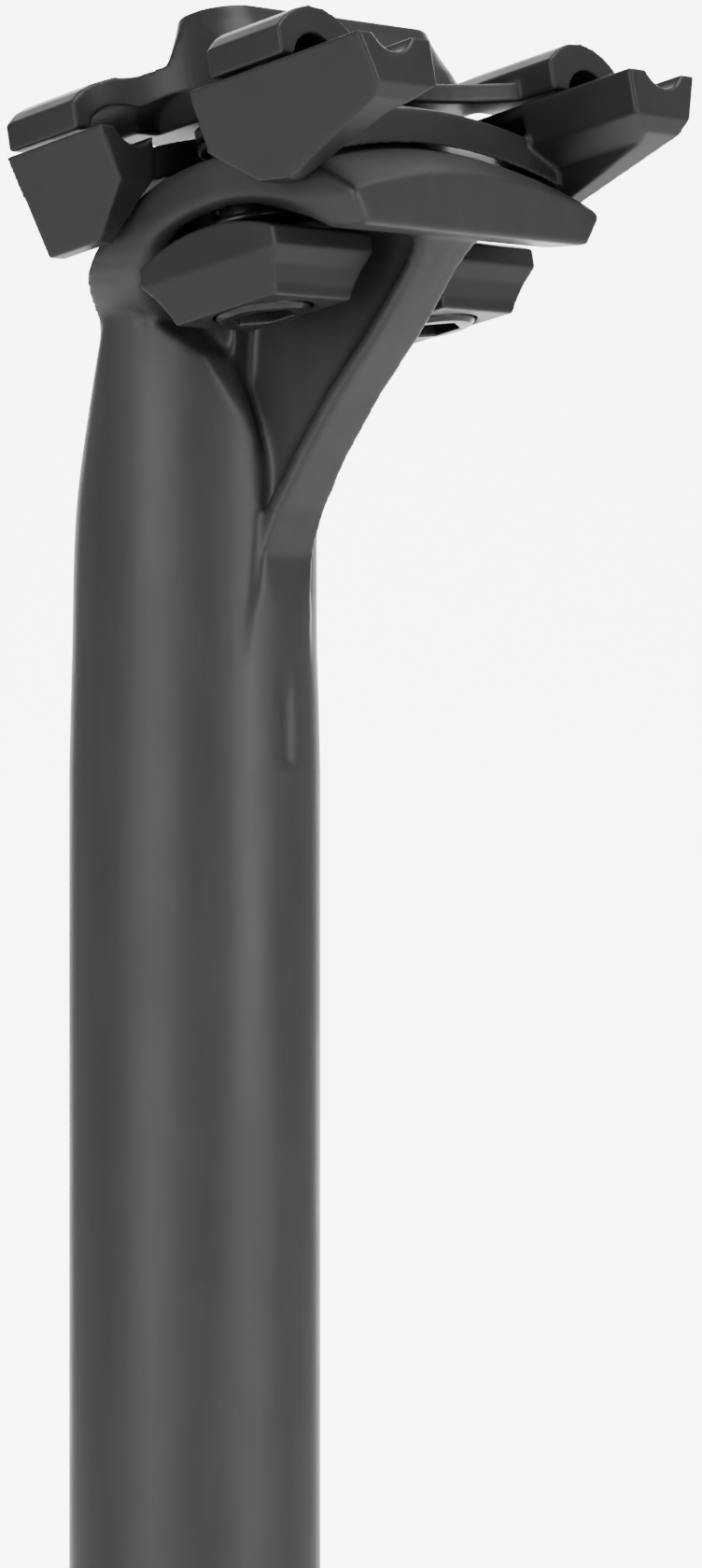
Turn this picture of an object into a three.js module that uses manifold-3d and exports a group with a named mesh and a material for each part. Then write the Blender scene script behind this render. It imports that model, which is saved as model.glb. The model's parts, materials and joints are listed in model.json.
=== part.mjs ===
// A rigid carbon seatpost with a moulded setback head and a two-bolt saddle clamp.
//
// Units are millimetres. +X is the bicycle's right, +Y is forward and +Z runs up the post's axis.
// The origin is the centre of the post's lower end. Side outlines are lists of [rearward, up].
// The clamp is built in a frame of its own: its origin is the centre of the head's arch, its up
// direction runs along the bolts and its rearward direction along the saddle rails.

import * as THREE from "three";
import * as BufferGeometryUtils from "three/addons/utils/BufferGeometryUtils.js";
import Module from "manifold-3d";

const wasm = await Module();
wasm.setup();

// ---- Driving dimensions ----

const GAP = 0.3; // clearance between pieces that touch on the real object

const TUBE_DIAMETER = 27.2;
const TUBE_BORE_RADIUS = 11.4;
const TUBE_TOP = 280.6; // the round tube ends here and the moulded body begins
const BORE_TOP = 262;
const BODY_RADIUS = 13.25;

const TILT_SETBACK = 24.5; // the arch's centre lies this far behind the tube's axis
const TILT_HEIGHT = 314.8;
const CLAMP_TILT_DEG = 11.1; // how far the rails' rear end is raised
const ARCH_INNER_RADIUS = 23.3;
const ARCH_MOUTH_RADIUS = 24.8; // the arch's underside flares open at its outer edges
const ARCH_EDGE_RADIUS = 29;
const ARCH_CROWN_RADIUS = 31.5; // the arch is crowned towards its middle plane
const ARCH_HALF_WIDTH = 19.9;
const FLANGE_SETBACK = 40.2; // the flange's flat rear face
const FLANGE_BOTTOM = TILT_HEIGHT + 21;
const STRUT_DEPTH = 1.9;
const WEB_HALF_WIDTH = 2.2;
const PILLAR_HALF_WIDTH = 5.3;
const PILLAR_REAR = 9.8;

const BOLT_SPACING = 26.6;
const BOLT_RADIUS = 3;
const BOLT_HEAD_RADIUS = 5;
const BOLT_HEAD_HEIGHT = 4.6;
const HEX_ACROSS_FLATS = 6;
const HEX_DEPTH = 3;
const HEAD_BOTTOM = 12.8;
const THREAD_END = 43.6;
const SHIM_THICKNESS = 1;
const SLOT_HALF_WIDTH = 4.8;
const SLOT_HALF_LENGTH = 9.9;

const WASHER_HALF_WIDTH = 7.65;
const WASHER_HALF_LENGTH = 9.6;
const WASHER_FOOT_HALF_WIDTH = 5.8;
const WASHER_FOOT_HALF_LENGTH = 7.1;
const WASHER_TOP_RADIUS = ARCH_INNER_RADIUS - GAP;
const WASHER_DROP = 1; // with no rails clamped, the washers hang this far below the arch
const WASHER_BEVEL_TOP = 17.9;
const WASHER_BOTTOM = 13.3;
const WASHER_TOP = WASHER_TOP_RADIUS - WASHER_DROP;

const SPRING_RADIUS = 3.95; // to the middle of the wire
const SPRING_WIRE = 0.9;
const SPRING_TURNS = 5;

const RAIL_SPACING = 44;
const GROOVE_RADIUS = 3.5;
const CRADLE_TOP = 34.2;
const CRADLE_SEAT_TOP = 33.9;
const CRADLE_INNER = 16.2;
const CRADLE_OUTER = 27.3;
const CRADLE_DRAFT = 0.38; // how much each block narrows outside for each millimetre down
const CRADLE_LEG_INNER = 20.3; // the blocks' lower parts stand clear of the arch's edges
const CROWN_GAP = 0.6;
const SADDLE_THICKNESS = 4;
const SADDLE_HALF_LENGTH = 15;

const YOKE_BOTTOM = 34.6;
const YOKE_HALF_LENGTH = 19.5;
const YOKE_HALF_WIDTH = 27.2;
const YOKE_TOP = 40.1;
const RELIEF_HALF_LENGTH = 9; // an arch is cut under each waist
const RELIEF_HEIGHT = 3;
const WEB_TOP = 36.7; // a web joins the arms and carries the boss
const WEB_HALF_LENGTH = 10.4; // at its middle; it is longer at the arms
const WEB_END_HALF_LENGTH = 15.3;
const ARM_INNER = 16.2;
const WAIST_RADIUS = 9.5;
const BOSS_HALF_THICKNESS = 4.4;
const BOSS_TOP = 45.2;

const CARBON = { color: 0x4f4f51, roughness: 0.5, metalness: 0.1 };
const ANODISED = { color: 0x444446, roughness: 0.42, metalness: 0.75 };
const STEEL = { color: 0x3f4042, roughness: 0.35, metalness: 0.9 };

const TAU = Math.PI * 2;
const radians = THREE.MathUtils.degToRad;

// ---- Solids ----

function volumeOf(geometry) {
  const position = geometry.getAttribute("position");
  const index = geometry.getIndex();
  const [a, b, c] = [new THREE.Vector3(), new THREE.Vector3(), new THREE.Vector3()];
  let sum = 0;
  for (let i = 0; i < index.count; i += 3) {
    a.fromBufferAttribute(position, index.getX(i));
    b.fromBufferAttribute(position, index.getX(i + 1));
    c.fromBufferAttribute(position, index.getX(i + 2));
    sum += a.dot(b.cross(c)) / 6;
  }
  return sum;
}

// Turns a closed geometry into a solid for joining and cutting, with its faces pointing outwards.
function solid(geometry) {
  const bare = geometry.clone();
  bare.deleteAttribute("normal");
  bare.deleteAttribute("uv");
  const merged = BufferGeometryUtils.mergeVertices(bare, 1e-4);
  const triangles = Uint32Array.from(merged.getIndex().array);
  if (volumeOf(merged) < 0) {
    for (let i = 0; i < triangles.length; i += 3) {
      [triangles[i], triangles[i + 1]] = [triangles[i + 1], triangles[i]];
    }
  }
  const vertices = Float32Array.from(merged.getAttribute("position").array);
  return new wasm.Manifold(
    new wasm.Mesh({ numProp: 3, vertProperties: vertices, triVerts: triangles }),
  );
}

function joined(first, ...others) {
  return others.reduce((sum, other) => sum.add(other), first);
}

function meshOf(name, shape, look) {
  const data = shape.getMesh();
  const geometry = new THREE.BufferGeometry();
  geometry.setAttribute("position", new THREE.BufferAttribute(data.vertProperties, 3));
  geometry.setIndex(new THREE.BufferAttribute(data.triVerts, 1));
  geometry.computeVertexNormals();
  const mesh = new THREE.Mesh(geometry, new THREE.MeshStandardMaterial(look));
  mesh.name = name;
  return mesh;
}

// Extrudes a side outline of [rearward, up] points between two lateral positions.
function sidePrism(outline, left, right) {
  const shape = new THREE.Shape(outline.map(([rear, up]) => new THREE.Vector2(-rear, up)));
  const geometry = new THREE.ExtrudeGeometry(shape, { depth: right - left, bevelEnabled: false });
  const turn = new THREE.Matrix4().makeBasis(
    new THREE.Vector3(0, 1, 0),
    new THREE.Vector3(0, 0, 1),
    new THREE.Vector3(1, 0, 0),
  );
  geometry.applyMatrix4(turn);
  geometry.translate(left, 0, 0);
  return solid(geometry);
}

// Extrudes a front outline of [lateral, up] points between two rearward positions.
function frontPrism(outline, front, rear) {
  const shape = new THREE.Shape(outline.map(([x, up]) => new THREE.Vector2(x, up)));
  const geometry = new THREE.ExtrudeGeometry(shape, { depth: rear - front, bevelEnabled: false });
  geometry.rotateX(Math.PI / 2);
  geometry.translate(0, -front, 0);
  return solid(geometry);
}

// Extrudes a plan outline (a THREE.Shape in X and forward Y) between two heights.
function planPrism(shape, bottom, top) {
  const geometry = new THREE.ExtrudeGeometry(shape, {
    depth: top - bottom,
    bevelEnabled: false,
    curveSegments: 16,
  });
  geometry.translate(0, 0, bottom);
  return solid(geometry);
}

function box(x0, x1, front, rear, bottom, top) {
  const geometry = new THREE.BoxGeometry(x1 - x0, rear - front, top - bottom);
  geometry.translate((x0 + x1) / 2, -(front + rear) / 2, (bottom + top) / 2);
  return solid(geometry);
}

function upright(x, radius, bottom, top, sides = 40) {
  const geometry = new THREE.CylinderGeometry(radius, radius, top - bottom, sides);
  geometry.rotateX(Math.PI / 2);
  geometry.translate(x, 0, (bottom + top) / 2);
  return solid(geometry);
}

// A cylinder that lies along the rails.
function railBar(x, up, radius) {
  const geometry = new THREE.CylinderGeometry(radius, radius, 80, 40);
  geometry.translate(x, 0, up);
  return solid(geometry);
}

// Revolves a profile of [radius, lateral] points about the lateral axis through the origin.
function lateralLathe(profile, segments = 96) {
  const points = profile.map(([radius, x]) => new THREE.Vector2(radius, x));
  const geometry = new THREE.LatheGeometry(points, segments);
  geometry.rotateZ(-Math.PI / 2);
  return solid(geometry);
}

function bothSides(make) {
  return joined(make(-1), make(1));
}

// Completes an outline's right half, given from bottom to top, with its mirror image.
function mirrored(half) {
  return [...half, ...half.map(([x, up]) => [-x, up]).reverse()];
}

// ---- The arch's crowned surface, shared by the head and the cradle that rides on it ----

function crownRadius(x) {
  const drop = ARCH_CROWN_RADIUS - ARCH_EDGE_RADIUS;
  return ARCH_CROWN_RADIUS - drop * (x / ARCH_HALF_WIDTH) ** 2;
}

// A plain disc about the lateral axis.
function plainDisc(radius, halfWidth) {
  return lateralLathe([
    [0, halfWidth],
    [radius, halfWidth],
    [radius, -halfWidth],
    [0, -halfWidth],
  ]);
}

// A solid of revolution inside the crown plus an offset, as wide as the half width asked for.
function crownedSolid(offset, halfWidth) {
  const profile = [[0, halfWidth]];
  for (let i = 0; i <= 16; i++) {
    const x = halfWidth * (1 - i / 8);
    profile.push([crownRadius(x) + offset, x]);
  }
  profile.push([0, -halfWidth]);
  return lateralLathe(profile);
}

// ---- Post ----

const archCentre = new THREE.Vector3(0, -TILT_SETBACK, TILT_HEIGHT);

function atArch(shape) {
  return shape.translate([archCentre.x, archCentre.y, archCentre.z]);
}

// A smooth curve through a table of [height, value, ...] rows.
function interpolate(table, height) {
  const last = table.length - 1;
  if (height <= table[0][0]) return table[0].slice(1);
  if (height >= table[last][0]) return table[last].slice(1);
  const i = table.findIndex((row) => row[0] > height) - 1;
  const rows = [Math.max(i - 1, 0), i, i + 1, Math.min(i + 2, last)].map((k) => table[k]);
  const span = rows[2][0] - rows[1][0];
  const t = (height - rows[1][0]) / span;
  return rows[1].slice(1).map((value, k) => {
    const end = rows[2][k + 1];
    const leave = ((end - rows[0][k + 1]) / (rows[2][0] - rows[0][0])) * span;
    const arrive = ((rows[3][k + 1] - value) / (rows[3][0] - rows[1][0])) * span;
    const [t2, t3] = [t * t, t * t * t];
    const ease = 3 * t2 - 2 * t3;
    return value + (end - value) * ease + leave * (t3 - 2 * t2 + t) + arrive * (t3 - t2);
  });
}

// Height against the radius of the round part, which narrows from the tube into the body.
const WALL_RADIUS = [
  [TUBE_TOP, TUBE_DIAMETER / 2],
  [TUBE_TOP + 7, TUBE_DIAMETER / 2 - 0.16],
  [TUBE_TOP + 14, BODY_RADIUS],
  [340, BODY_RADIUS],
];

// Height against the reach of the body's front wall ahead of the tube's axis.
const FRONT_WALL = [
  [TUBE_TOP, TUBE_DIAMETER / 2],
  [TUBE_TOP + 14, BODY_RADIUS],
  [305, 12.85],
  [311, 11.95],
  [318, 9.9],
  [324, 7.6],
  [329, 5.2],
  [334, 3.6],
];

// Height against the place of the ridge that borders each side pocket, lateral and rearward, and
// the angle from straight back at which the round wall ends and turns towards the ridge.
const RIDGE = [
  [TUBE_TOP, 1.2, 13.5, 6],
  [294, 1.3, 13.2, 7],
  [300, 1.5, 13.15, 8],
  [306, 1.9, 13.05, 11],
  [311, 2.5, 12.9, 15],
  [317, 4.1, 12.4, 24],
  [322, 5, 10.9, 38],
  [325, PILLAR_HALF_WIDTH, PILLAR_REAR, 46],
];

const WALL_STEPS = 30;

// Half of the body's section, from the middle of the front wall round to the pocket's inner corner.
function bodyHalfSection(height) {
  const [front] = interpolate(FRONT_WALL, height);
  const [radius] = interpolate(WALL_RADIUS, height);
  const [ridgeX, ridgeRear, wallEndDeg] = interpolate(RIDGE, height);
  const wallEnd = radians(wallEndDeg);
  const points = [];
  for (let i = 0; i <= WALL_STEPS; i++) {
    const angle = Math.PI + ((wallEnd - Math.PI) * i) / WALL_STEPS;
    const rear = Math.cos(angle) * (angle > Math.PI / 2 ? front : radius);
    points.push([radius * Math.sin(angle), rear]);
  }
  points.push([ridgeX, ridgeRear]);
  points.push([ridgeX * 0.45, ridgeRear - 0.35 * ridgeX]);
  return points;
}

// The moulded body above the tube: a cylinder's rings moved onto the body's sections.
function bodyCore(bottom, top, levels) {
  const half = bodyHalfSection(bottom).length;
  const around = 2 * half - 1;
  const geometry = new THREE.CylinderGeometry(1, 1, 1, around, levels, false);
  const position = geometry.getAttribute("position");
  for (let i = 0; i < position.count; i++) {
    const [px, py, pz] = [position.getX(i), position.getY(i), position.getZ(i)];
    const height = bottom + (py + 0.5) * (top - bottom);
    if (Math.hypot(px, pz) < 0.5) {
      position.setXYZ(i, 0, 0, height);
      continue;
    }
    const turn = (Math.atan2(px, pz) / TAU + 1) % 1;
    const step = Math.round(turn * around) % around;
    const side = step < half ? 1 : -1;
    const [x, rear] = bodyHalfSection(height)[step < half ? step : around - step];
    position.setXYZ(i, side * x, -rear, height);
  }
  return solid(geometry);
}

function tube() {
  const outer = TUBE_DIAMETER / 2;
  const profile = [
    [0, 0],
    [outer, 0],
    [outer, TUBE_TOP],
    [0, TUBE_TOP],
  ];
  const geometry = new THREE.LatheGeometry(profile.map((p) => new THREE.Vector2(...p)), 72);
  geometry.rotateX(Math.PI / 2);
  return solid(geometry);
}

function tubeBore() {
  const profile = [[0, -1], [TUBE_BORE_RADIUS, -1]];
  for (let i = 0; i <= 5; i++) {
    const angle = (i / 5) * (Math.PI / 2);
    const domeHeight = TUBE_BORE_RADIUS * 0.8 * Math.sin(angle);
    profile.push([TUBE_BORE_RADIUS * Math.cos(angle), BORE_TOP + domeHeight]);
  }
  profile[profile.length - 1][0] = 0;
  const geometry = new THREE.LatheGeometry(profile.map((p) => new THREE.Vector2(...p)), 60);
  geometry.rotateX(Math.PI / 2);
  return solid(geometry);
}

// The strut's rear outline, from the tube's back up to the flange.
const STRUT_REAR = [
  [13.35, 283],
  [13.6, 303],
  [15.6, 308],
  [19.1, 313.5],
  [23.6, 319.6],
  [28.8, 325.5],
  [33.2, 331],
  [36.3, 335],
  [38.4, 337.4],
];

// Height against the strut's half width: it widens into the tube's back and into the flange.
const STRUT_WIDTH = [
  [286, 5.6],
  [292, 5.1],
  [298, 4.5],
  [305, 3.9],
  [313, 3.5],
  [333, 3.5],
  [335.5, 4.2],
  [338, 6],
];

function strut() {
  const inner = STRUT_REAR.map(([rear, up]) => [rear - STRUT_DEPTH, up + 0.6]).reverse();
  const slab = sidePrism([...STRUT_REAR, ...inner], -8, 8);
  const outline = mirrored(STRUT_WIDTH.map(([up, x]) => [x, up]));
  // Low down, the strut's edges sink into the round body.
  const sunk = [
    [0, 280],
    [BODY_RADIUS - 0.6, 285],
    [BODY_RADIUS + 0.05, 291],
    [BODY_RADIUS + 0.25, 296],
    [BODY_RADIUS + 0.8, 302],
    [BODY_RADIUS + 3.5, 309],
    [BODY_RADIUS + 12, 320],
    [BODY_RADIUS + 30, 345],
    [0, 345],
  ];
  const limit = new THREE.LatheGeometry(sunk.map((p) => new THREE.Vector2(...p)), 72);
  limit.rotateX(Math.PI / 2);
  return slab.intersect(frontPrism(outline, 0, 60)).intersect(solid(limit));
}

// Points on a circle about the arch's centre, at angles from straight up, positive rearwards.
function arcPoints(radius, fromDeg, toDeg, steps) {
  return Array.from({ length: steps + 1 }, (_, i) => {
    const angle = radians(fromDeg + ((toDeg - fromDeg) * i) / steps);
    return [TILT_SETBACK + radius * Math.sin(angle), TILT_HEIGHT + radius * Math.cos(angle)];
  });
}

function web() {
  const rear = STRUT_REAR.slice(0, -1).map(([b, up]) => [b - 0.5, up]);
  const under = arcPoints(ARCH_INNER_RADIUS + 1, 30, -44, 10);
  return sidePrism([[6, 290], ...rear, ...under, [4, 322]], -WEB_HALF_WIDTH, WEB_HALF_WIDTH);
}

function pillar() {
  const crown = arcPoints(ARCH_INNER_RADIUS + 2.5, -31, -62, 6);
  const outline = [[PILLAR_REAR, 318], ...crown, [0, 324], [2, 318]];
  return sidePrism(outline, -PILLAR_HALF_WIDTH, PILLAR_HALF_WIDTH);
}

// Height against the half width of the neck, which flares into the arch's full width.
const NECK_FLARE = [
  [322, 9.6],
  [326, 10.4],
  [328.2, 12.2],
  [330, 15],
  [331.4, 17],
  [332.8, 18.4],
  [334.5, 19.3],
  [337, ARCH_HALF_WIDTH],
];

function archHollow() {
  const [throat, mouth] = [ARCH_INNER_RADIUS, ARCH_MOUTH_RADIUS];
  const half = [
    [throat, ARCH_HALF_WIDTH - 3.6],
    [throat + 0.2, ARCH_HALF_WIDTH - 2.2],
    [(throat + mouth) / 2, ARCH_HALF_WIDTH - 0.9],
    [mouth, ARCH_HALF_WIDTH],
    [mouth + 1, ARCH_HALF_WIDTH + 1],
    [0, ARCH_HALF_WIDTH + 1],
  ].reverse();
  const other = half.map(([radius, x]) => [radius, -x]).reverse();
  return lateralLathe([...half, ...other]);
}

function arch() {
  const ring = crownedSolid(0, ARCH_HALF_WIDTH).subtract(archHollow());
  const slant = 2; // the flange's ends lean in towards its lower edge
  const flare = NECK_FLARE.map(([up, x]) => [x, up]);
  const front = frontPrism(mirrored([...flare, [ARCH_HALF_WIDTH, 360]]), -30, 30);
  const flange = [
    [ARCH_HALF_WIDTH - slant, FLANGE_BOTTOM],
    [ARCH_HALF_WIDTH, FLANGE_BOTTOM + 3],
    [ARCH_HALF_WIDTH, 360],
  ];
  const rear = frontPrism(mirrored(flange), 30, FLANGE_SETBACK);
  return atArch(ring).intersect(joined(front, rear));
}

// The open space on each side where a clamp washer rocks, above the tube wall's sloping shoulder.
function washerSpace(side) {
  const outline = [
    [10.6, 323.6],
    [40, 323.6],
    ...arcPoints(ARCH_MOUTH_RADIUS, 60, -55, 18),
    [3.2, 327.6],
    [5.4, 327.8],
  ];
  const near = PILLAR_HALF_WIDTH;
  const far = 30;
  return side > 0 ? sidePrism(outline, near, far) : sidePrism(outline, -far, -near);
}

function inClampFrame(shape) {
  return atArch(shape.rotate([-CLAMP_TILT_DEG, 0, 0]));
}

function boltSlot(side) {
  const x = (side * BOLT_SPACING) / 2;
  const straight = SLOT_HALF_LENGTH - SLOT_HALF_WIDTH;
  const shape = new THREE.Shape();
  shape.moveTo(x + SLOT_HALF_WIDTH, -straight);
  shape.lineTo(x + SLOT_HALF_WIDTH, straight);
  shape.absarc(x, straight, SLOT_HALF_WIDTH, 0, Math.PI, false);
  shape.lineTo(x - SLOT_HALF_WIDTH, -straight);
  shape.absarc(x, -straight, SLOT_HALF_WIDTH, Math.PI, TAU, false);
  return inClampFrame(planPrism(shape, 18, 36));
}

function postBody() {
  const core = bodyCore(TUBE_TOP, 334, 22)
    .subtract(bothSides(washerSpace))
    .intersect(atArch(crownedSolid(0, ARCH_HALF_WIDTH)).add(box(-30, 30, -30, 60, 200, 328)));
  return joined(tube(), core, arch(), pillar(), web(), strut())
    .subtract(bothSides(boltSlot))
    .subtract(tubeBore());
}

// ---- Clamp, in its own frame ----

// Each end of a washer is scooped below its bevel: half length against height.
const WASHER_END = [
  [WASHER_FOOT_HALF_LENGTH, WASHER_BOTTOM],
  [7.4, 14.5],
  [8.3, 16.3],
  [WASHER_HALF_LENGTH, WASHER_BEVEL_TOP],
  [WASHER_HALF_LENGTH, 30],
];
const WASHER_SIDE = [
  [WASHER_FOOT_HALF_WIDTH, WASHER_BOTTOM],
  [WASHER_HALF_WIDTH, WASHER_BEVEL_TOP],
  [WASHER_HALF_WIDTH, 30],
];

function clampWasher(side) {
  const x = (side * BOLT_SPACING) / 2;
  const reach = WASHER_HALF_WIDTH + 1;
  const rounded = plainDisc(WASHER_TOP_RADIUS, reach).translate([x, 0, -WASHER_DROP]);
  const pocketTop = HEAD_BOTTOM + BOLT_HEAD_HEIGHT + SHIM_THICKNESS + 2 * GAP;
  return sidePrism(mirrored(WASHER_END), x - reach, x + reach)
    .intersect(frontPrism(mirrored(WASHER_SIDE), -20, 20).translate([x, 0, 0]))
    .intersect(rounded)
    .subtract(upright(x, BOLT_HEAD_RADIUS + GAP, 10, pocketTop))
    .subtract(upright(x, BOLT_RADIUS + GAP, 10, 30, 32));
}

function bolt(side) {
  const x = (side * BOLT_SPACING) / 2;
  const headTop = HEAD_BOTTOM + BOLT_HEAD_HEIGHT;
  const profile = [
    [0, HEAD_BOTTOM],
    [BOLT_HEAD_RADIUS - 0.5, HEAD_BOTTOM],
    [BOLT_HEAD_RADIUS, HEAD_BOTTOM + 0.5],
    [BOLT_HEAD_RADIUS, headTop],
    [BOLT_RADIUS, headTop],
    [BOLT_RADIUS, THREAD_END - 0.8],
    [BOLT_RADIUS - 0.8, THREAD_END],
    [0, THREAD_END],
  ];
  const geometry = new THREE.LatheGeometry(profile.map((p) => new THREE.Vector2(...p)), 36);
  geometry.rotateX(Math.PI / 2);
  geometry.translate(x, 0, 0);
  const corner = HEX_ACROSS_FLATS / Math.sqrt(3);
  const socket = upright(x, corner, HEAD_BOTTOM - 1, HEAD_BOTTOM + HEX_DEPTH, 6);
  return solid(geometry).subtract(socket);
}

// The plain round washer between a bolt's head and the bottom of its pocket.
function headShim(side) {
  const x = (side * BOLT_SPACING) / 2;
  const bottom = HEAD_BOTTOM + BOLT_HEAD_HEIGHT + GAP;
  const disc = upright(x, BOLT_HEAD_RADIUS - 0.1, bottom, bottom + SHIM_THICKNESS);
  return disc.subtract(upright(x, BOLT_RADIUS + GAP, bottom - 1, bottom + 3, 32));
}

class Helix extends THREE.Curve {
  constructor(x, radius, bottom, top, turns) {
    super();
    Object.assign(this, { x, radius, bottom, top, turns });
  }

  getPoint(t, target = new THREE.Vector3()) {
    const angle = TAU * this.turns * t;
    const closed = 0.12; // the share of the wire at each end that lies nearly flat
    const climb = THREE.MathUtils.clamp((t - closed) / (1 - 2 * closed), 0, 1);
    const creep = 0.9 * climb + 0.1 * t;
    const up = this.bottom + (this.top - this.bottom) * creep;
    return target.set(this.x + this.radius * Math.cos(angle), this.radius * Math.sin(angle), up);
  }
}

function spring(side) {
  const half = SPRING_WIRE / 2;
  const bottom = WASHER_TOP + GAP + half;
  const top = ARCH_CROWN_RADIUS + CROWN_GAP - GAP - half;
  const x = (side * BOLT_SPACING) / 2;
  const path = new Helix(x, SPRING_RADIUS, bottom, top, SPRING_TURNS);
  const section = new THREE.Shape();
  section.absarc(0, 0, half, 0, TAU, false);
  const geometry = new THREE.ExtrudeGeometry(section, {
    extrudePath: path,
    steps: SPRING_TURNS * 16,
    curveSegments: 4,
  });
  return solid(geometry);
}

// Side outlines of the cradle's rear and front blocks.
const REAR_BLOCK = [
  [6.3, CRADLE_TOP],
  [29.7, CRADLE_TOP],
  [29.7, 29.3],
  [28.3, 27.8],
  [14.1, 23.3],
  [10.6, 23.9],
  [5.7, 28],
];
const FRONT_BLOCK = [
  [-20, CRADLE_TOP],
  [-6.2, CRADLE_TOP],
  [-6.4, 28.6],
  [-12.4, 23.5],
  [-19.8, 23.5],
];

// A front outline between an inner wall and the blocks' drafted outer wall.
function blockOutline(side, inner) {
  const depth = CRADLE_TOP - 20;
  const outline = [
    [side * (CRADLE_OUTER - CRADLE_DRAFT * depth), 20],
    [side * CRADLE_OUTER, CRADLE_TOP],
    [side * CRADLE_OUTER, 40],
    ...inner.map(([x, up]) => [side * x, up]),
  ];
  return side > 0 ? outline : outline.reverse();
}

function cradleBlocks(side) {
  const [left, right] = spanOf(side, CRADLE_INNER - 1, CRADLE_OUTER + 1);
  const leg = CRADLE_LEG_INNER;
  const frontInner = [[leg - 0.9, 40], [leg - 0.9, 32], [leg, 28.5], [leg + 1, 20]];
  const rearInner = [[CRADLE_INNER, 40], [CRADLE_INNER, 29.4], [leg, 27.2], [leg + 0.6, 20]];
  const midInner = [[CRADLE_INNER, 40], [CRADLE_INNER, 33], [leg - 0.9, 31], [leg + 0.6, 20]];
  const front = frontPrism(blockOutline(side, frontInner), -25, 0);
  const mid = frontPrism(blockOutline(side, midInner), 0, 14.5);
  const rear = frontPrism(blockOutline(side, rearInner), 14.5, 35);
  const frontBlock = sidePrism(FRONT_BLOCK, left, right).intersect(front);
  const rearBlock = sidePrism(REAR_BLOCK, left, right).intersect(joined(mid, rear));
  return frontBlock.add(rearBlock);
}

// The cradle's two arched crosspieces and the bridge between them, which ride on the crown.
function cradleSaddle() {
  const half = SADDLE_HALF_LENGTH;
  const width = ARCH_HALF_WIDTH + GAP;
  const across = box(-width, width, -half, half, 20, CRADLE_SEAT_TOP);
  const windows = bothSides((side) => box(...spanOf(side, 8.4, 30), -6.6, 6.3, 20, 40));
  return crownedSolid(SADDLE_THICKNESS, width)
    .intersect(across)
    .subtract(windows);
}

// The plates over the bolts' springs.
function springSeats(side) {
  const x = (side * BOLT_SPACING) / 2;
  const bottom = ARCH_CROWN_RADIUS + CROWN_GAP;
  const top = bottom + 1.3;
  const disc = upright(x, SPRING_RADIUS + SPRING_WIRE / 2, bottom, top);
  return disc.add(box(...spanOf(side, 8, 13.3), -3, 3, bottom, top));
}

function lowerCradle() {
  const holes = bothSides((side) => upright((side * BOLT_SPACING) / 2, BOLT_RADIUS + GAP, 20, 40, 32));
  const grooveUp = CRADLE_TOP + 1.7;
  const grooves = bothSides((side) => railBar((side * RAIL_SPACING) / 2, grooveUp, GROOVE_RADIUS));
  return joined(cradleSaddle(), bothSides(cradleBlocks), bothSides(springSeats))
    .subtract(crownedSolid(CROWN_GAP, ARCH_HALF_WIDTH + GAP))
    .subtract(holes)
    .subtract(grooves);
}

function spanOf(side, near, far) {
  return side > 0 ? [near, far] : [-far, -near];
}

// The arms' rounded hoods, seen along the rails.
const HOOD_TOP = [
  [YOKE_HALF_WIDTH, YOKE_BOTTOM - 1],
  [YOKE_HALF_WIDTH, 37.5],
  [25.7, 38.8],
  [24, 39.6],
  [22, YOKE_TOP],
  [19.8, 39.9],
  [18, 39.2],
  [16.2, 37.9],
];

// The tall wall that holds both threads, flared towards its foot: half thickness against height.
const BOSS_SIDE = [
  [8, WEB_TOP - 0.5],
  [6.6, 40],
  [5.7, 41.7],
  [4.9, 43.6],
  [BOSS_HALF_THICKNESS, BOSS_TOP],
];

function boss() {
  const reach = BOLT_SPACING / 2;
  const wall = sidePrism(mirrored(BOSS_SIDE), -reach, reach);
  const profile = [[0, BOSS_SIDE[0][1]], ...BOSS_SIDE, [0, BOSS_TOP]];
  const round = new THREE.LatheGeometry(profile.map((p) => new THREE.Vector2(...p)), 40);
  round.rotateX(Math.PI / 2);
  const end = solid(round);
  return joined(wall, end.translate([reach, 0, 0]), end.translate([-reach, 0, 0]));
}

// A rounded shoulder that carries the boss's flare out to the arms.
function shoulder() {
  const outline = [
    [20, WEB_TOP - 0.5],
    [20, 40.2],
    [13, 41.6],
  ];
  const profile = [
    [7, WEB_TOP - 0.5],
    [7, 38.4],
    [5, 39.3],
    [2.5, 40.5],
    [0.5, 41],
    [-2.5, 40.8],
    [-5, 40.3],
    [-7.5, 39.8],
    [-7.5, WEB_TOP - 0.5],
  ];
  return frontPrism(mirrored(outline), -8, 8).intersect(sidePrism(profile, -25, 25));
}

// The arch cut under each waist; its inner side slopes down to the web's underside.
function waistRelief(side) {
  const arch = Array.from({ length: 13 }, (_, i) => {
    const angle = (i / 12) * Math.PI;
    const up = YOKE_BOTTOM + RELIEF_HEIGHT * Math.sin(angle);
    return [RELIEF_HALF_LENGTH * Math.cos(angle), up];
  });
  const below = YOKE_BOTTOM - 1;
  const along = [...arch, [-RELIEF_HALF_LENGTH, below], [RELIEF_HALF_LENGTH, below]];
  const slope = [
    [15.4, YOKE_BOTTOM],
    [18, YOKE_BOTTOM + RELIEF_HEIGHT],
    [30, YOKE_BOTTOM + RELIEF_HEIGHT],
    [30, below],
    [15.4, below],
  ].map(([x, up]) => [side * x, up]);
  const across = frontPrism(side > 0 ? slope.reverse() : slope, -20, 20);
  return sidePrism(along, ...spanOf(side, 14, 40)).intersect(across);
}

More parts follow.
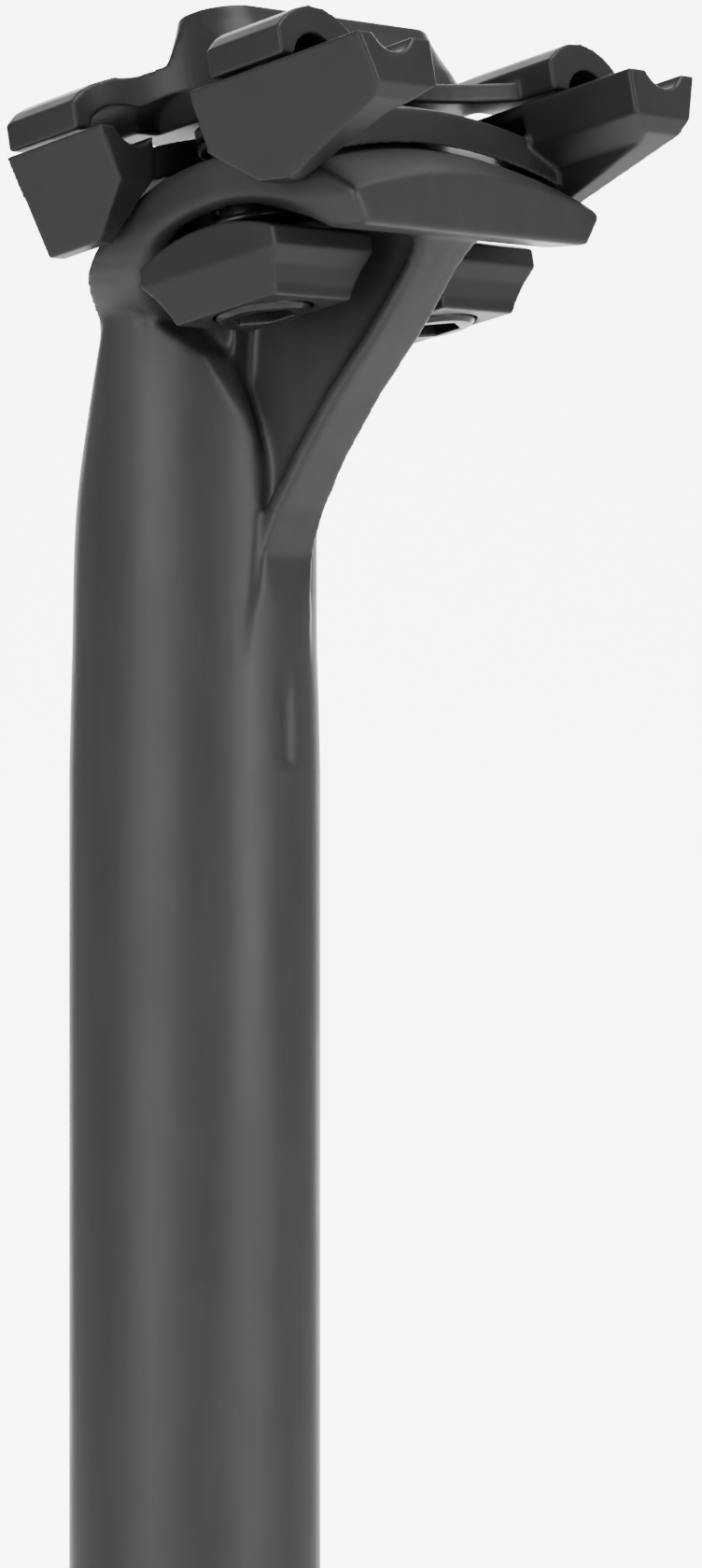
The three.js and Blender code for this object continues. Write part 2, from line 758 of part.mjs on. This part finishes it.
// The web's plan, with a hollow curve at its front and rear.
function webPlan() {
  const [reach, middle, end] = [ARM_INNER + 1, WEB_HALF_LENGTH, WEB_END_HALF_LENGTH];
  const pull = 2 * middle - end; // puts the curve's middle at the half length wanted
  const shape = new THREE.Shape();
  shape.moveTo(-reach, -end);
  shape.quadraticCurveTo(0, -pull, reach, -end);
  shape.lineTo(reach, end);
  shape.quadraticCurveTo(0, pull, -reach, end);
  shape.lineTo(-reach, -end);
  return shape;
}

function upperYoke() {
  const [near, far, half] = [ARM_INNER, YOKE_HALF_WIDTH, YOKE_HALF_LENGTH];
  const arms = bothSides((side) =>
    box(...spanOf(side, near, far), -half, half, YOKE_BOTTOM, YOKE_TOP + 1),
  ).intersect(frontPrism(mirrored(HOOD_TOP), -40, 40));
  const scallops = bothSides((side) =>
    upright(side * YOKE_HALF_WIDTH, WAIST_RADIUS, YOKE_BOTTOM - 1, BOSS_TOP + 1, 64),
  );
  const holes = bothSides((side) =>
    upright((side * BOLT_SPACING) / 2, BOLT_RADIUS + GAP, 30, THREAD_END + GAP, 32),
  );
  const grooveUp = YOKE_BOTTOM - 1;
  const grooves = bothSides((side) => railBar((side * RAIL_SPACING) / 2, grooveUp, GROOVE_RADIUS));
  return joined(arms, planPrism(webPlan(), YOKE_BOTTOM, WEB_TOP), boss(), shoulder())
    .subtract(bothSides(waistRelief))
    .subtract(grooves)
    .subtract(scallops)
    .subtract(holes);
}

// ---- Assembly ----

const seatpost = new THREE.Group();
seatpost.add(meshOf("post_body", postBody(), CARBON));

const clamp = new THREE.Group();
clamp.position.copy(archCentre);
clamp.rotation.x = -radians(CLAMP_TILT_DEG);
clamp.add(meshOf("lower_cradle", lowerCradle(), ANODISED));
clamp.add(meshOf("upper_yoke", upperYoke(), ANODISED));
for (const [label, side] of [["left", -1], ["right", 1]]) {
  clamp.add(meshOf(`${label}_clamp_washer`, clampWasher(side), ANODISED));
  clamp.add(meshOf(`${label}_head_shim`, headShim(side), STEEL));
  clamp.add(meshOf(`${label}_bolt`, bolt(side), STEEL));
  clamp.add(meshOf(`${label}_spring`, spring(side), STEEL));
}
seatpost.add(clamp);

export default seatpost;
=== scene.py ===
"""A rigid carbon seatpost with a two-bolt saddle clamp, in a pale studio."""

import json
import math

import bmesh
import bpy
from mathutils import Matrix, Vector


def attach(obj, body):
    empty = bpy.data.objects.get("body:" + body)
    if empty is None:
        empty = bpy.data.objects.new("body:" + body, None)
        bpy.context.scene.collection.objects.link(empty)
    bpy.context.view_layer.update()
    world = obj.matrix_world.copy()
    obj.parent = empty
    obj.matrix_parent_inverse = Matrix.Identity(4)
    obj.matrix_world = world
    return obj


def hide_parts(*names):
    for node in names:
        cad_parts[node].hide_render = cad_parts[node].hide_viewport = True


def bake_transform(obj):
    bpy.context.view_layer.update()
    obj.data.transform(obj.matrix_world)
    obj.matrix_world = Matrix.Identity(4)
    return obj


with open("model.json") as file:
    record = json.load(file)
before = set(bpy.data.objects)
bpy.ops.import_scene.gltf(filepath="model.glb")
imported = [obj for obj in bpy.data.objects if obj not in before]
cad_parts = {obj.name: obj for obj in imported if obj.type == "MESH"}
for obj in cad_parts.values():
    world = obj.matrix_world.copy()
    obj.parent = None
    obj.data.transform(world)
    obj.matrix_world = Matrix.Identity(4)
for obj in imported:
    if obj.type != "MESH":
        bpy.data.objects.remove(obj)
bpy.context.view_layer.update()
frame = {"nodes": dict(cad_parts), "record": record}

MM = 0.001

# ---- Places taken from the frame ----

record = frame["record"]
joints = {joint["name"]: joint for joint in record["behaviour"]["joints"]}
body_of_node = {
    node: body for body, nodes in record["behaviour"]["bodies"].items() for node in nodes
}
arch_centre = Vector(joints["clamp_tilt"]["pos_m"])
bolt_axis = Vector(joints["washer_lift"]["axis"]).normalized()
across = Vector((1, 0, 0))
ahead = bolt_axis.cross(across).normalized()
# The clamp's own frame: X across, Y forward along the rails, Z along the bolts.
clamp_frame = Matrix.Translation(arch_centre) @ Matrix((across, ahead, bolt_axis)).transposed().to_4x4()

# ---- The camera ----

CAMERA_PLACE = (-0.4236, -0.3906, 0.2902)
CAMERA_AIM = (0.7547, 0.656, 0)

camera_data = bpy.data.cameras.new("camera")
camera_data.lens = 122.14  # mm
camera_data.sensor_width = 36  # mm
camera_data.shift_y = -0.0685
camera_data.clip_end = 50
camera = bpy.data.objects.new("camera", camera_data)
bpy.context.scene.collection.objects.link(camera)
camera.location = CAMERA_PLACE
camera.rotation_euler = Vector(CAMERA_AIM).to_track_quat("-Z", "Y").to_euler()
bpy.context.scene.camera = camera


# ---- Materials ----

NOISE_LOW, NOISE_HIGH = 0.3, 0.7  # the part of a noise's range that is spread out
STREAK_SHARE, CLOUD_SHARE = 0.55, 0.45

class Nodes:
    """A small helper that adds nodes to a material and links them."""

    def __init__(self, name):
        self.material = bpy.data.materials.new(name)
        self.material.use_nodes = True
        self.tree = self.material.node_tree
        self.shader = self.tree.nodes["Principled BSDF"]
        self.place = self.add("ShaderNodeTexCoord").outputs["Object"]

    def add(self, kind, **values):
        node = self.tree.nodes.new(kind)
        for key, value in values.items():
            if key in node.inputs:
                node.inputs[key].default_value = value
            else:
                setattr(node, key, value)
        return node

    def link(self, source, target):
        self.tree.links.new(source, target)

    def stretched(self, x, y, z):
        mapping = self.add("ShaderNodeMapping")
        mapping.inputs["Scale"].default_value = (x, y, z)
        self.link(self.place, mapping.inputs["Vector"])
        return mapping.outputs["Vector"]

    def noise(self, vector, scale, detail=3.0):
        node = self.add("ShaderNodeTexNoise", Scale=scale, Detail=detail)
        self.link(vector, node.inputs["Vector"])
        return node.outputs["Fac"]

    def ranged(self, value, low, high):
        node = self.add("ShaderNodeMapRange")
        node.inputs["From Min"].default_value = NOISE_LOW
        node.inputs["From Max"].default_value = NOISE_HIGH
        node.inputs["To Min"].default_value = low
        node.inputs["To Max"].default_value = high
        self.link(value, node.inputs["Value"])
        return node.outputs["Result"]

    def tinted(self, value, dark, light):
        ramp = self.add("ShaderNodeValToRGB")
        ramp.color_ramp.elements[0].position = NOISE_LOW
        ramp.color_ramp.elements[0].color = (*dark, 1)
        ramp.color_ramp.elements[1].position = NOISE_HIGH
        ramp.color_ramp.elements[1].color = (*light, 1)
        self.link(value, ramp.inputs["Fac"])
        self.link(ramp.outputs["Color"], self.shader.inputs["Base Color"])

    def bumped(self, value, height):
        bump = self.add("ShaderNodeBump", Strength=1.0, Distance=height)
        self.link(value, bump.inputs["Height"])
        self.link(bump.outputs["Normal"], self.shader.inputs["Normal"])


def carbon_material():
    """Matte clear coat over short, vertically drawn carbon fibres."""
    m = Nodes("carbon")
    streaks = m.noise(m.stretched(1, 1, 0.22), 420, 5.0)
    clouds = m.noise(m.stretched(1, 1, 0.5), 90, 2.0)
    mixed = m.add("ShaderNodeMath", operation="MULTIPLY_ADD")
    mixed.inputs[1].default_value = STREAK_SHARE
    m.link(streaks, mixed.inputs[0])
    faint = m.add("ShaderNodeMath", operation="MULTIPLY")
    faint.inputs[1].default_value = CLOUD_SHARE
    m.link(clouds, faint.inputs[0])
    m.link(faint.outputs[0], mixed.inputs[2])
    m.tinted(mixed.outputs[0], (0.017, 0.017, 0.0175), (0.026, 0.026, 0.0265))
    m.link(m.ranged(clouds, 0.42, 0.52), m.shader.inputs["Roughness"])
    m.shader.inputs["Specular IOR Level"].default_value = 0.5
    m.bumped(streaks, 0.02 * MM)
    return m.material


def anodised_material():
    """Bead-blasted and anodised aluminium, dark grey and even."""
    m = Nodes("anodised")
    grain = m.noise(m.stretched(1, 1, 1), 2600, 2.0)
    clouds = m.noise(m.stretched(1, 1, 1), 120, 2.0)
    m.tinted(clouds, (0.014, 0.014, 0.0145), (0.018, 0.018, 0.0185))
    m.link(m.ranged(clouds, 0.4, 0.48), m.shader.inputs["Roughness"])
    m.shader.inputs["Metallic"].default_value = 0.15
    m.shader.inputs["Specular IOR Level"].default_value = 0.5
    m.bumped(grain, 0.008 * MM)
    return m.material


def steel_material():
    """Blackened steel with a slight oily sheen."""
    m = Nodes("black_steel")
    clouds = m.noise(m.stretched(1, 1, 1), 300, 3.0)
    m.tinted(clouds, (0.025, 0.025, 0.026), (0.05, 0.05, 0.052))
    m.link(m.ranged(clouds, 0.26, 0.38), m.shader.inputs["Roughness"])
    m.shader.inputs["Metallic"].default_value = 0.7
    return m.material


materials = {
    "carbon": carbon_material(),
    "anodised_alloy": anodised_material(),
    "black_steel": steel_material(),
}
slot_of_node = {part["node"]: part["material_slot"] for part in record["subparts"]}

# ---- Building pieces ----

WELD_DISTANCE = 1e-6

def add_object(name, mesh):
    thing = bpy.data.objects.new(name, mesh)
    bpy.context.scene.collection.objects.link(thing)
    return thing


def finish_piece(piece, node):
    """Gives a piece its node's material and smooth shading, and lets it stand for the node."""
    slot = slot_of_node[node]
    piece.data.materials.clear()
    piece.data.materials.append(materials[slot])
    for face in piece.data.polygons:
        face.use_smooth = True
    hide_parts(node)


def evaluated_mesh(thing):
    """What an object's modifiers, or a curve's bevel, make of it."""
    graph = bpy.context.evaluated_depsgraph_get()
    return bpy.data.meshes.new_from_object(thing.evaluated_get(graph))


def grid_mesh(name, size):
    """One level square face."""
    mesh = bmesh.new()
    bmesh.ops.create_grid(mesh, x_segments=1, y_segments=1, size=size)
    data = bpy.data.meshes.new(name)
    mesh.to_mesh(data)
    mesh.free()
    return data


def softened(name, mesh, voxel, passes):
    """Rebuilds a mesh as a fine even skin whose sharp edges are rounded off."""
    piece = add_object(name, mesh)
    remesh = piece.modifiers.new("remesh", "REMESH")
    remesh.mode = "VOXEL"
    remesh.voxel_size = voxel
    smooth = piece.modifiers.new("smooth", "SMOOTH")
    smooth.factor = 0.5
    smooth.iterations = passes
    mesh = evaluated_mesh(piece)
    piece.modifiers.clear()
    piece.data = mesh
    return piece


def copied_mesh(node):
    """The node's mesh with its split corners welded."""
    mesh = bmesh.new()
    mesh.from_mesh(frame["nodes"][node].data)
    bmesh.ops.remove_doubles(mesh, verts=mesh.verts[:], dist=WELD_DISTANCE)
    data = bpy.data.meshes.new(node)
    mesh.to_mesh(data)
    mesh.free()
    return data


def clamp_piece(node, voxel, passes):
    """A clamp part, rebuilt square to its own frame so that its flats stay flat."""
    mesh = copied_mesh(node)
    mesh.transform(clamp_frame.inverted())
    piece = softened(node + "_skin", mesh, voxel, passes)
    piece.data.transform(clamp_frame)
    finish_piece(piece, node)
    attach(piece, body_of_node[node])


# ---- The post ----

TUBE_RADIUS = 13.6 * MM
BORE_RADIUS = 11.4 * MM
TUBE_TOP = 280.4 * MM  # the round tube ends here and the moulded head begins
BORE_TOP = 262 * MM
HEAD_CUT = 273 * MM  # the rebuilt head is joined to the turned tube here
RING = 144  # corners in each turned ring
CUT_MARGIN = 1 * MM
SEAM = 0.5 * MM
RIM_EDGE = 0.3 * MM
TUBE_STEPS = 40
DOME_STEPS = 6
DOME_HEIGHT = 0.8 * BORE_RADIUS


def ring(mesh, radius, height):
    return [
        mesh.verts.new(
            (
                radius * math.cos(math.tau * i / RING),
                radius * math.sin(math.tau * i / RING),
                height,
            )
        )
        for i in range(RING)
    ]


def skin(mesh, lower, upper):
    for i in range(RING):
        j = (i + 1) % RING
        mesh.faces.new((lower[i], lower[j], upper[j], upper[i]))


def rounded_to_tube(mesh):
    """Puts the head's lowest points exactly on the tube's round surface."""
    for vertex in mesh.verts:
        radius = math.hypot(vertex.co.x, vertex.co.y)
        if vertex.co.z < TUBE_TOP and radius > TUBE_RADIUS - CUT_MARGIN:
            vertex.co.x *= TUBE_RADIUS / radius
            vertex.co.y *= TUBE_RADIUS / radius


def cut_level(mesh, height):
    """Takes away all that is below a height, and returns the edges of the cut."""
    cut = bmesh.ops.bisect_plane(
        mesh,
        geom=mesh.verts[:] + mesh.edges[:] + mesh.faces[:],
        plane_co=(0, 0, height),
        plane_no=(0, 0, 1),
        clear_inner=True,
    )
    return [e for e in cut["geom_cut"] if isinstance(e, bmesh.types.BMEdge)]


def head_mesh():
    """The head alone: the node above a level cut through the solid part of the tube."""
    data = copied_mesh("post_body")
    mesh = bmesh.new()
    mesh.from_mesh(data)
    rim = cut_level(mesh, HEAD_CUT - CUT_MARGIN)
    bmesh.ops.contextual_create(mesh, geom=rim)
    mesh.to_mesh(data)
    mesh.free()
    return data


def tube_profile():
    """Radius and height from the seam down the outside, round the rim and up the bore."""
    top = HEAD_CUT - SEAM
    profile = [(TUBE_RADIUS, top * (1 - i / TUBE_STEPS)) for i in range(TUBE_STEPS)]
    profile += [
        (TUBE_RADIUS, RIM_EDGE),
        (TUBE_RADIUS - RIM_EDGE, 0),
        (BORE_RADIUS + RIM_EDGE, 0),
        (BORE_RADIUS, RIM_EDGE),
        (BORE_RADIUS, BORE_TOP),
    ]
    for i in range(1, DOME_STEPS):
        angle = math.pi / 2 * i / DOME_STEPS
        profile.append((BORE_RADIUS * math.cos(angle), BORE_TOP + DOME_HEIGHT * math.sin(angle)))
    return profile


def build_post():
    head = softened("post_skin", head_mesh(), 0.4 * MM, 9)
    mesh = bmesh.new()
    mesh.from_mesh(head.data)
    rounded_to_tube(mesh)
    rim = cut_level(mesh, HEAD_CUT)
    rings = [ring(mesh, radius, height) for radius, height in tube_profile()]
    for upper, lower in zip(rings, rings[1:]):
        skin(mesh, lower, upper)
    mesh.faces.new(rings[-1])
    top_edges = [mesh.edges.get((rings[0][i], rings[0][(i + 1) % RING])) for i in range(RING)]
    bmesh.ops.bridge_loops(mesh, edges=rim + top_edges)
    bmesh.ops.recalc_face_normals(mesh, faces=mesh.faces[:])
    mesh.to_mesh(head.data)
    mesh.free()
    finish_piece(head, "post_body")
    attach(head, "post")


build_post()

# ---- The clamp ----

clamp_piece("lower_cradle", 0.24 * MM, 4)
clamp_piece("upper_yoke", 0.24 * MM, 4)
for side in ("left", "right"):
    clamp_piece(f"{side}_clamp_washer", 0.2 * MM, 4)
    clamp_piece(f"{side}_bolt", 0.14 * MM, 3)
    clamp_piece(f"{side}_head_shim", 0.14 * MM, 2)

# ---- The springs ----

WIRE_RADIUS = 0.45 * MM
COIL_RADIUS = 3.95 * MM
COILS = 5
STEPS_PER_COIL = 32
CLOSED_END = 0.12  # the share of the wire that lies nearly flat at each end
CLIMB_SHARE = 0.9
BOLT_SPACING = 26.6 * MM


def spring_piece(side, x):
    """A closed-end coil between the washer and the cradle."""
    node = f"{side}_spring"
    local = copied_mesh(node)
    local.transform(clamp_frame.inverted())
    heights = [v.co.z for v in local.vertices]
    bottom, top = min(heights) + WIRE_RADIUS, max(heights) - WIRE_RADIUS
    curve = bpy.data.curves.new(node, "CURVE")
    curve.dimensions = "3D"
    curve.bevel_depth = WIRE_RADIUS
    curve.bevel_resolution = 3
    curve.use_fill_caps = True
    spline = curve.splines.new("POLY")
    steps = COILS * STEPS_PER_COIL
    spline.points.add(steps)
    for i in range(steps + 1):
        t = i / steps
        climb = min(max((t - CLOSED_END) / (1 - 2 * CLOSED_END), 0), 1)
        height = bottom + (top - bottom) * (CLIMB_SHARE * climb + (1 - CLIMB_SHARE) * t)
        angle = math.tau * COILS * t
        point = Vector((x + COIL_RADIUS * math.cos(angle), COIL_RADIUS * math.sin(angle), height))
        spline.points[i].co = (*(clamp_frame @ point), 1)
    wire = add_object(node + "_wire", curve)
    mesh = evaluated_mesh(wire)
    bpy.data.objects.remove(wire)
    piece = add_object(node + "_coil", mesh)
    finish_piece(piece, node)
    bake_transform(piece)


spring_piece("left", -BOLT_SPACING / 2)
spring_piece("right", BOLT_SPACING / 2)

# ---- Studio ----


def studio_floor():
    """A pale, level floor."""
    data = grid_mesh("floor", 6)
    floor = add_object("floor", data)
    floor.location.z = -0.5 * MM
    m = Nodes("floor")
    m.tinted(m.noise(m.stretched(1, 1, 1), 3), (0.93, 0.93, 0.93), (0.95, 0.95, 0.95))
    m.shader.inputs["Roughness"].default_value = 0.9
    m.shader.inputs["Specular IOR Level"].default_value = 0.1
    data.materials.append(m.material)


def soft_light(name, place, target, size, power):
    data = bpy.data.lights.new(name, "AREA")
    data.shape = "RECTANGLE"
    data.size, data.size_y = size
    data.energy = power
    light = add_object(name, data)
    light.location = place
    light.rotation_euler = (Vector(target) - Vector(place)).to_track_quat("-Z", "Y").to_euler()


def backdrop():
    """A bright panel behind the object, square to the camera."""
    view = camera.matrix_basis.to_3x3() @ Vector((0, 0, -1))
    data = grid_mesh("backdrop", 0.5)
    panel = add_object("backdrop", data)
    panel.rotation_euler = view.to_track_quat("-Z", "Y").to_euler()
    panel.location = view * 1.1 + Vector((0, 0, 0.5))
    m = Nodes("backdrop")
    m.tinted(m.noise(m.stretched(1, 1, 1), 2), (0.97, 0.97, 0.97), (1, 1, 1))
    m.shader.inputs["Emission Color"].default_value = (1, 1, 1, 1)
    m.shader.inputs["Emission Strength"].default_value = 6
    data.materials.append(m.material)


studio_floor()
backdrop()
world = bpy.data.worlds.new("studio")
world.use_nodes = True
surround = world.node_tree.nodes["Background"]
surround.inputs["Color"].default_value = (1, 1, 1, 1)
surround.inputs["Strength"].default_value = 0.5
bpy.context.scene.world = world

middle = (0, -0.01, 0.3)
soft_light("left", (-1.2, -0.1, 0.45), middle, (0.8, 1.0), 9)
soft_light("rear", (0.1, -1.3, 0.4), middle, (0.5, 1.0), 9)
soft_light("top", (0.1, -0.35, 1.3), middle, (0.8, 0.8), 9)
